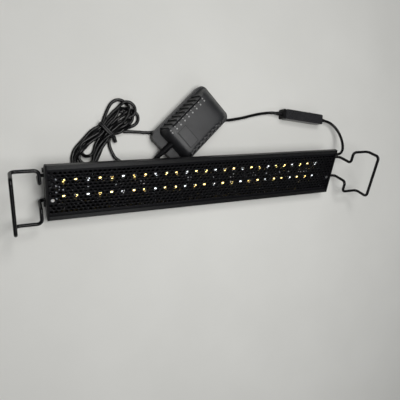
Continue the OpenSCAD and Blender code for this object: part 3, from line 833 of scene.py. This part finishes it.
def solder_pads():
    """Tinned pads beside the resistors, for the wires at the board's end, and test points."""
    mesh = bmesh.new()
    places = [(x + dx, y, *RESISTOR_PAD)
              for x in RESISTORS for dx in PAD_OFFSETS for y in PAD_OFFSETS]
    places += [(WIRES_X, y, *WIRE_PAD) for y in WIRES_Y]
    places += [(x, 0, *TEST_PAD) for x in TEST_POINTS]
    for x, y, long, wide in places:
        add_ring_loft(mesh, [
            rounded_ring(long * share * MM, wide * share * MM, corner * MM, LED_LOW + rise * MM,
                         x * MM, y * MM, steps=2) for rise, share, corner in PAD_RINGS])
    return from_bmesh("board_pads", mesh, "tin", BAR_FRAME)


_pads = solder_pads()
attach(_pads, "root")


# ---- adapter ----

GRIP_PITCH = 5.95 * MM
GRIP_COUNT = 9
GRIP_FIRST = -24.9 * MM
SIDE_STEPS, END_STEPS, CORNER_STEPS = 48, 10, 7


def toward(value, middle, amount):
    """A value moved by amount towards the middle."""
    return value - math.copysign(amount, value - middle)


def shell_ring(u0, u1, half_v, radius, z):
    """A rectangle with round corners and with many points along its sides, in millimetres."""
    corners = [(u1, half_v, 0), (u0, half_v, 90), (u0, -half_v, 180), (u1, -half_v, 270)]
    middle_u = (u0 + u1) / 2
    arcs = []
    for cu, cv, start in corners:
        mid_u, mid_v = toward(cu, middle_u, radius), toward(cv, 0, radius)
        angles = [math.radians(start + 90 * i / CORNER_STEPS) for i in range(CORNER_STEPS + 1)]
        arcs.append([(mid_u + radius * math.cos(a), mid_v + radius * math.sin(a)) for a in angles])
    points = []
    for k, arc in enumerate(arcs):
        here, end = arc[-1], arcs[(k + 1) % 4][0]
        steps = SIDE_STEPS if k % 2 == 0 else END_STEPS
        points += [(*p, z) for p in arc]
        for i in range(1, steps):
            share = i / steps
            points.append((here[0] + (end[0] - here[0]) * share,
                           here[1] + (end[1] - here[1]) * share, z))
    return points


def along_grips(u):
    """From 0 to 1 within each grip, or None where there is no grip."""
    place = (u * MM - GRIP_FIRST) / GRIP_PITCH + 0.5
    return place % 1 if 0 <= place <= GRIP_COUNT else None


# Height, lead end, far end, half width and corner radius of the upper shell, in millimetres,
# then the level's part in the toothed groove, or 0
FLOOR, LIP = 1, 2
SHELL_LEVELS = [
    (11.0, -31.0, 39.0, 20.5, 5, 0), (11.4, -31.0, 39.0, 20.5, 5, 0),
    (16.4, -30.4, 36.4, 19.2, 5, 0), (19.6, -29.5, 33.8, 18.4, 5, 0),
    (22.0, -28.2, 31.2, 17.8, 5, 0), (23.3, -26.9, 29.2, 17.3, 5, 0),
    (23.7, -26.3, 28.3, 17.1, 5, 0), (24.15, -25.4, 27.1, 16.6, 5, FLOOR),
    (24.3, -24.9, 26.4, 16.0, 5, FLOOR), (24.55, -23.9, 25.3, 15.5, 5, LIP),
    (24.85, -22.2, 23.6, 14.8, 5, 0), (25.08, -20.0, 21.4, 13.8, 5, 0),
    (25.2, -17.0, 18.5, 12.0, 5, 0),
]


def shell_height(u, v):
    """Height of the upper shell's surface at a point in plan, away from its corners."""
    heights = [level[0] for level in SHELL_LEVELS]
    ends = [-level[1] if u < 0 else level[2] for level in SHELL_LEVELS]
    sides = [level[3] for level in SHELL_LEVELS]
    return min(float(np.interp(-reach, [-r for r in reaches], heights))
               for reach, reaches in ((abs(u), ends), (abs(v), sides)))


# How deep the groove is, and how far its teeth lean in at the grips' starts, in millimetres:
# a full groove beside the studs, and single teeth on the other edge
GROOVE_DEEP, GROOVE_INWARD = 2.2, {FLOOR: 0.4, LIP: 0.9}
TOOTH_DEEP, TOOTH_INWARD = 1.6, 1.2


def adapter_skin():
    """The upper shell: steep at its lead end, sloping at the other, toothed along its edges."""
    mesh = bmesh.new()
    rings = []
    for z, u0, u1, half_v, radius, groove in SHELL_LEVELS:
        ring = []
        for u, v, height in shell_ring(u0, u1, half_v, radius, z):
            tooth = along_grips(u)
            on_side = abs(abs(v) - half_v) < 0.01 and tooth is not None
            if groove and on_side:
                if groove == FLOOR:
                    height -= GROOVE_DEEP if v > 0 else TOOTH_DEEP * (1 - tooth)
                inward = TOOTH_INWARD if v < 0 else GROOVE_INWARD[groove]
                v -= math.copysign((1 - tooth) * inward, v)
            ring.append(Vector((u, v, height)) * MM)
        rings.append(ring)
    add_ring_loft(mesh, rings)
    return from_bmesh("adapter_upper_skin", mesh, "adapter", ADAPTER_FRAME, angle=50)


# Height and wall, in millimetres, at each ring of a grip
GRIP_LEVELS = ((11.5, 20.45), (16.4, 19.15), (20.0, 18.25), (22.6, 17.55), (24.2, 16.9))
GRIP_RISE = 12.7
GRIP_LEAN = 2.7 * MM
GRIP_OFFSET = 0.42
GRIP_LONG, GRIP_THICK, GRIP_THIN = 4.6 * MM, 1.35 * MM, 0.05 * MM
GRIP_TOP_THICK = 1.0 * MM
GRIP_ROOT = 0.6 * MM
GRIP_NOSE = (0.3 * MM, 0.25 * MM)


def adapter_grips():
    """Slanted grips down both long walls, each thickest at its lead end."""
    mesh = bmesh.new()
    for side in (-1, 1):
        for i in range(GRIP_COUNT):
            u = GRIP_FIRST + (i - GRIP_OFFSET) * GRIP_PITCH
            rings = []
            for z, wall in GRIP_LEVELS:
                start = u + GRIP_LEAN * (z - GRIP_LEVELS[0][0]) / GRIP_RISE
                thick = GRIP_TOP_THICK if z == GRIP_LEVELS[-1][0] else GRIP_THICK
                inner = wall * MM - GRIP_ROOT
                ring = [(start, inner), (start, wall * MM + thick - GRIP_NOSE[1]),
                        (start + GRIP_NOSE[0], wall * MM + thick),
                        (start + GRIP_LONG, wall * MM + GRIP_THIN), (start + GRIP_LONG, inner)]
                rings.append([Vector((a, side * b, z * MM)) for a, b in ring])
            add_ring_loft(mesh, rings)
    grips = from_bmesh("adapter_grips", mesh, "adapter", ADAPTER_FRAME, angle=30)
    round_edges(grips, 0.2 * MM)
    return grips


# Place across the adapter and radius of each row of studs, then a stud's rings: share of its
# radius and height, all in millimetres
STUD_ROWS = ((14.3, 0.66), (11.4, 0.85))
STUD_RINGS = ((1, -0.4), (1, 0.0), (0.85, 0.12), (0.5, 0.2))


def adapter_studs():
    """Two rows of small round studs beside the northern grips, coloured light grey as a painted
    highlight.
    """
    mesh = bmesh.new()
    for v, radius in STUD_ROWS:
        for i in range(GRIP_COUNT):
            u = GRIP_FIRST + i * GRIP_PITCH
            base = Vector((u, v * MM, shell_height(u / MM, v) * MM))
            add_ring_loft(mesh, [[base + p for p in circle(radius * share * MM, z * MM)]
                                 for share, z in STUD_RINGS])
    return from_bmesh("adapter_studs", mesh, "painted_stud_highlight", ADAPTER_FRAME, angle=60)


# The line stands at its top height round the plate, and starts below the shell's surface
LINE_SIZE = (11.0 * MM, 19.0 * MM)
LINE_WIDTH = 0.5 * MM
LINE_CORNER = 0.3 * MM
LINE_LOW, LINE_HIGH = 25.1 * MM, 25.235 * MM


def painted_plate_groove_shade():
    """A fine dark ring round the blank plate: painted shade for the groove round it."""
    low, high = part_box("adapter_label_plate")
    middle = ADAPTER_FRAME.inverted() @ ((low + high) / 2)
    mesh = bmesh.new()
    rings = []
    for grow, z in ((0, LINE_LOW), (0, LINE_HIGH), (LINE_WIDTH, LINE_HIGH), (LINE_WIDTH, LINE_LOW)):
        rings.append(rounded_ring(LINE_SIZE[0] + 2 * grow, LINE_SIZE[1] + 2 * grow, LINE_CORNER, z,
                                  middle.x, middle.y))
    add_ring_loft(mesh, rings + rings[:1], close_start=False, close_end=False)
    bmesh.ops.remove_doubles(mesh, verts=mesh.verts, dist=0.001 * MM)
    return from_bmesh("painted_plate_groove_shade", mesh, "rubber", ADAPTER_FRAME)


adapter_shell = adapter_skin()
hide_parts("adapter_upper_shell")
for _piece in (adapter_shell, adapter_grips(), adapter_studs(), painted_plate_groove_shade()):
    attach(_piece, "root")


# ---- edges of the CAD parts that stay ----

EDGE_ROUNDS = {
    "adapter_lower_shell": 0.9 * MM, "controller_upper_case": 1.0 * MM,
    "controller_lower_case": 0.8 * MM, "controller_end_cap": 0.7 * MM, "housing": 0.25 * MM,
    "end_cap_left": 0.3 * MM, "end_cap_right": 0.3 * MM, "adapter_label_plate": 0.15 * MM,
    "prong_blades": 0.2 * MM,
}

for _name in NODE_FINISH:
    nodes[_name].data.shade_smooth()
    nodes[_name].data.set_sharp_from_angle(angle=ROUND_ANGLE)
for _name, _width in EDGE_ROUNDS.items():
    round_edges(nodes[_name], _width)


# ---- stage and light ----

FLOOR_SIZE = 3.0


def make_stage():
    mesh = bmesh.new()
    bmesh.ops.create_grid(mesh, x_segments=1, y_segments=1, size=FLOOR_SIZE / 2)
    floor = from_bmesh("floor", mesh, None)
    floor.data.materials.append(surface(
        "table", dark=(0.70, 0.70, 0.675), light=(0.73, 0.73, 0.705), rough=(0.75, 0.85),
        grain=0.8, bump=0.01, patch=0.01))


def area_light(name, place, target, size, power, colour):
    data = bpy.data.lights.new(name, "AREA")
    data.shape = "DISK"
    data.size = size
    data.energy = power
    data.color = colour
    lamp = bpy.data.objects.new(name, data)
    aim = (Vector(target) - Vector(place)).to_track_quat("-Z", "Y")
    lamp.matrix_world = Matrix.Translation(place) @ aim.to_matrix().to_4x4()
    bpy.context.scene.collection.objects.link(lamp)


def make_world(colour, strength):
    world = bpy.data.worlds.new("studio")
    world.use_nodes = True
    back = world.node_tree.nodes["Background"]
    back.inputs["Color"].default_value = (*colour, 1)
    back.inputs["Strength"].default_value = strength
    bpy.context.scene.world = world


make_stage()
area_light("overhead", (-0.04, -0.02, 0.62), (-0.04, -0.02, 0), 0.34, 1.95, (1.0, 0.995, 0.98))
area_light("sheen", (0.2, 0.12, 0.75), (-0.02, 0.06, 0), 0.3, 0.65, (1.0, 0.995, 0.99))
area_light("key", (0.04, 0.5, 0.8), (-0.02, -0.02, 0), 0.34, 1.95, (1.0, 0.995, 0.975))
area_light("rim", (0.06, -0.76, 0.74), (-0.05, 0.0, 0), 0.35, 0.7, (0.98, 0.99, 1.0))
make_world((0.95, 0.96, 0.97), 0.11)
bpy.context.scene.view_settings.view_transform = "Standard"
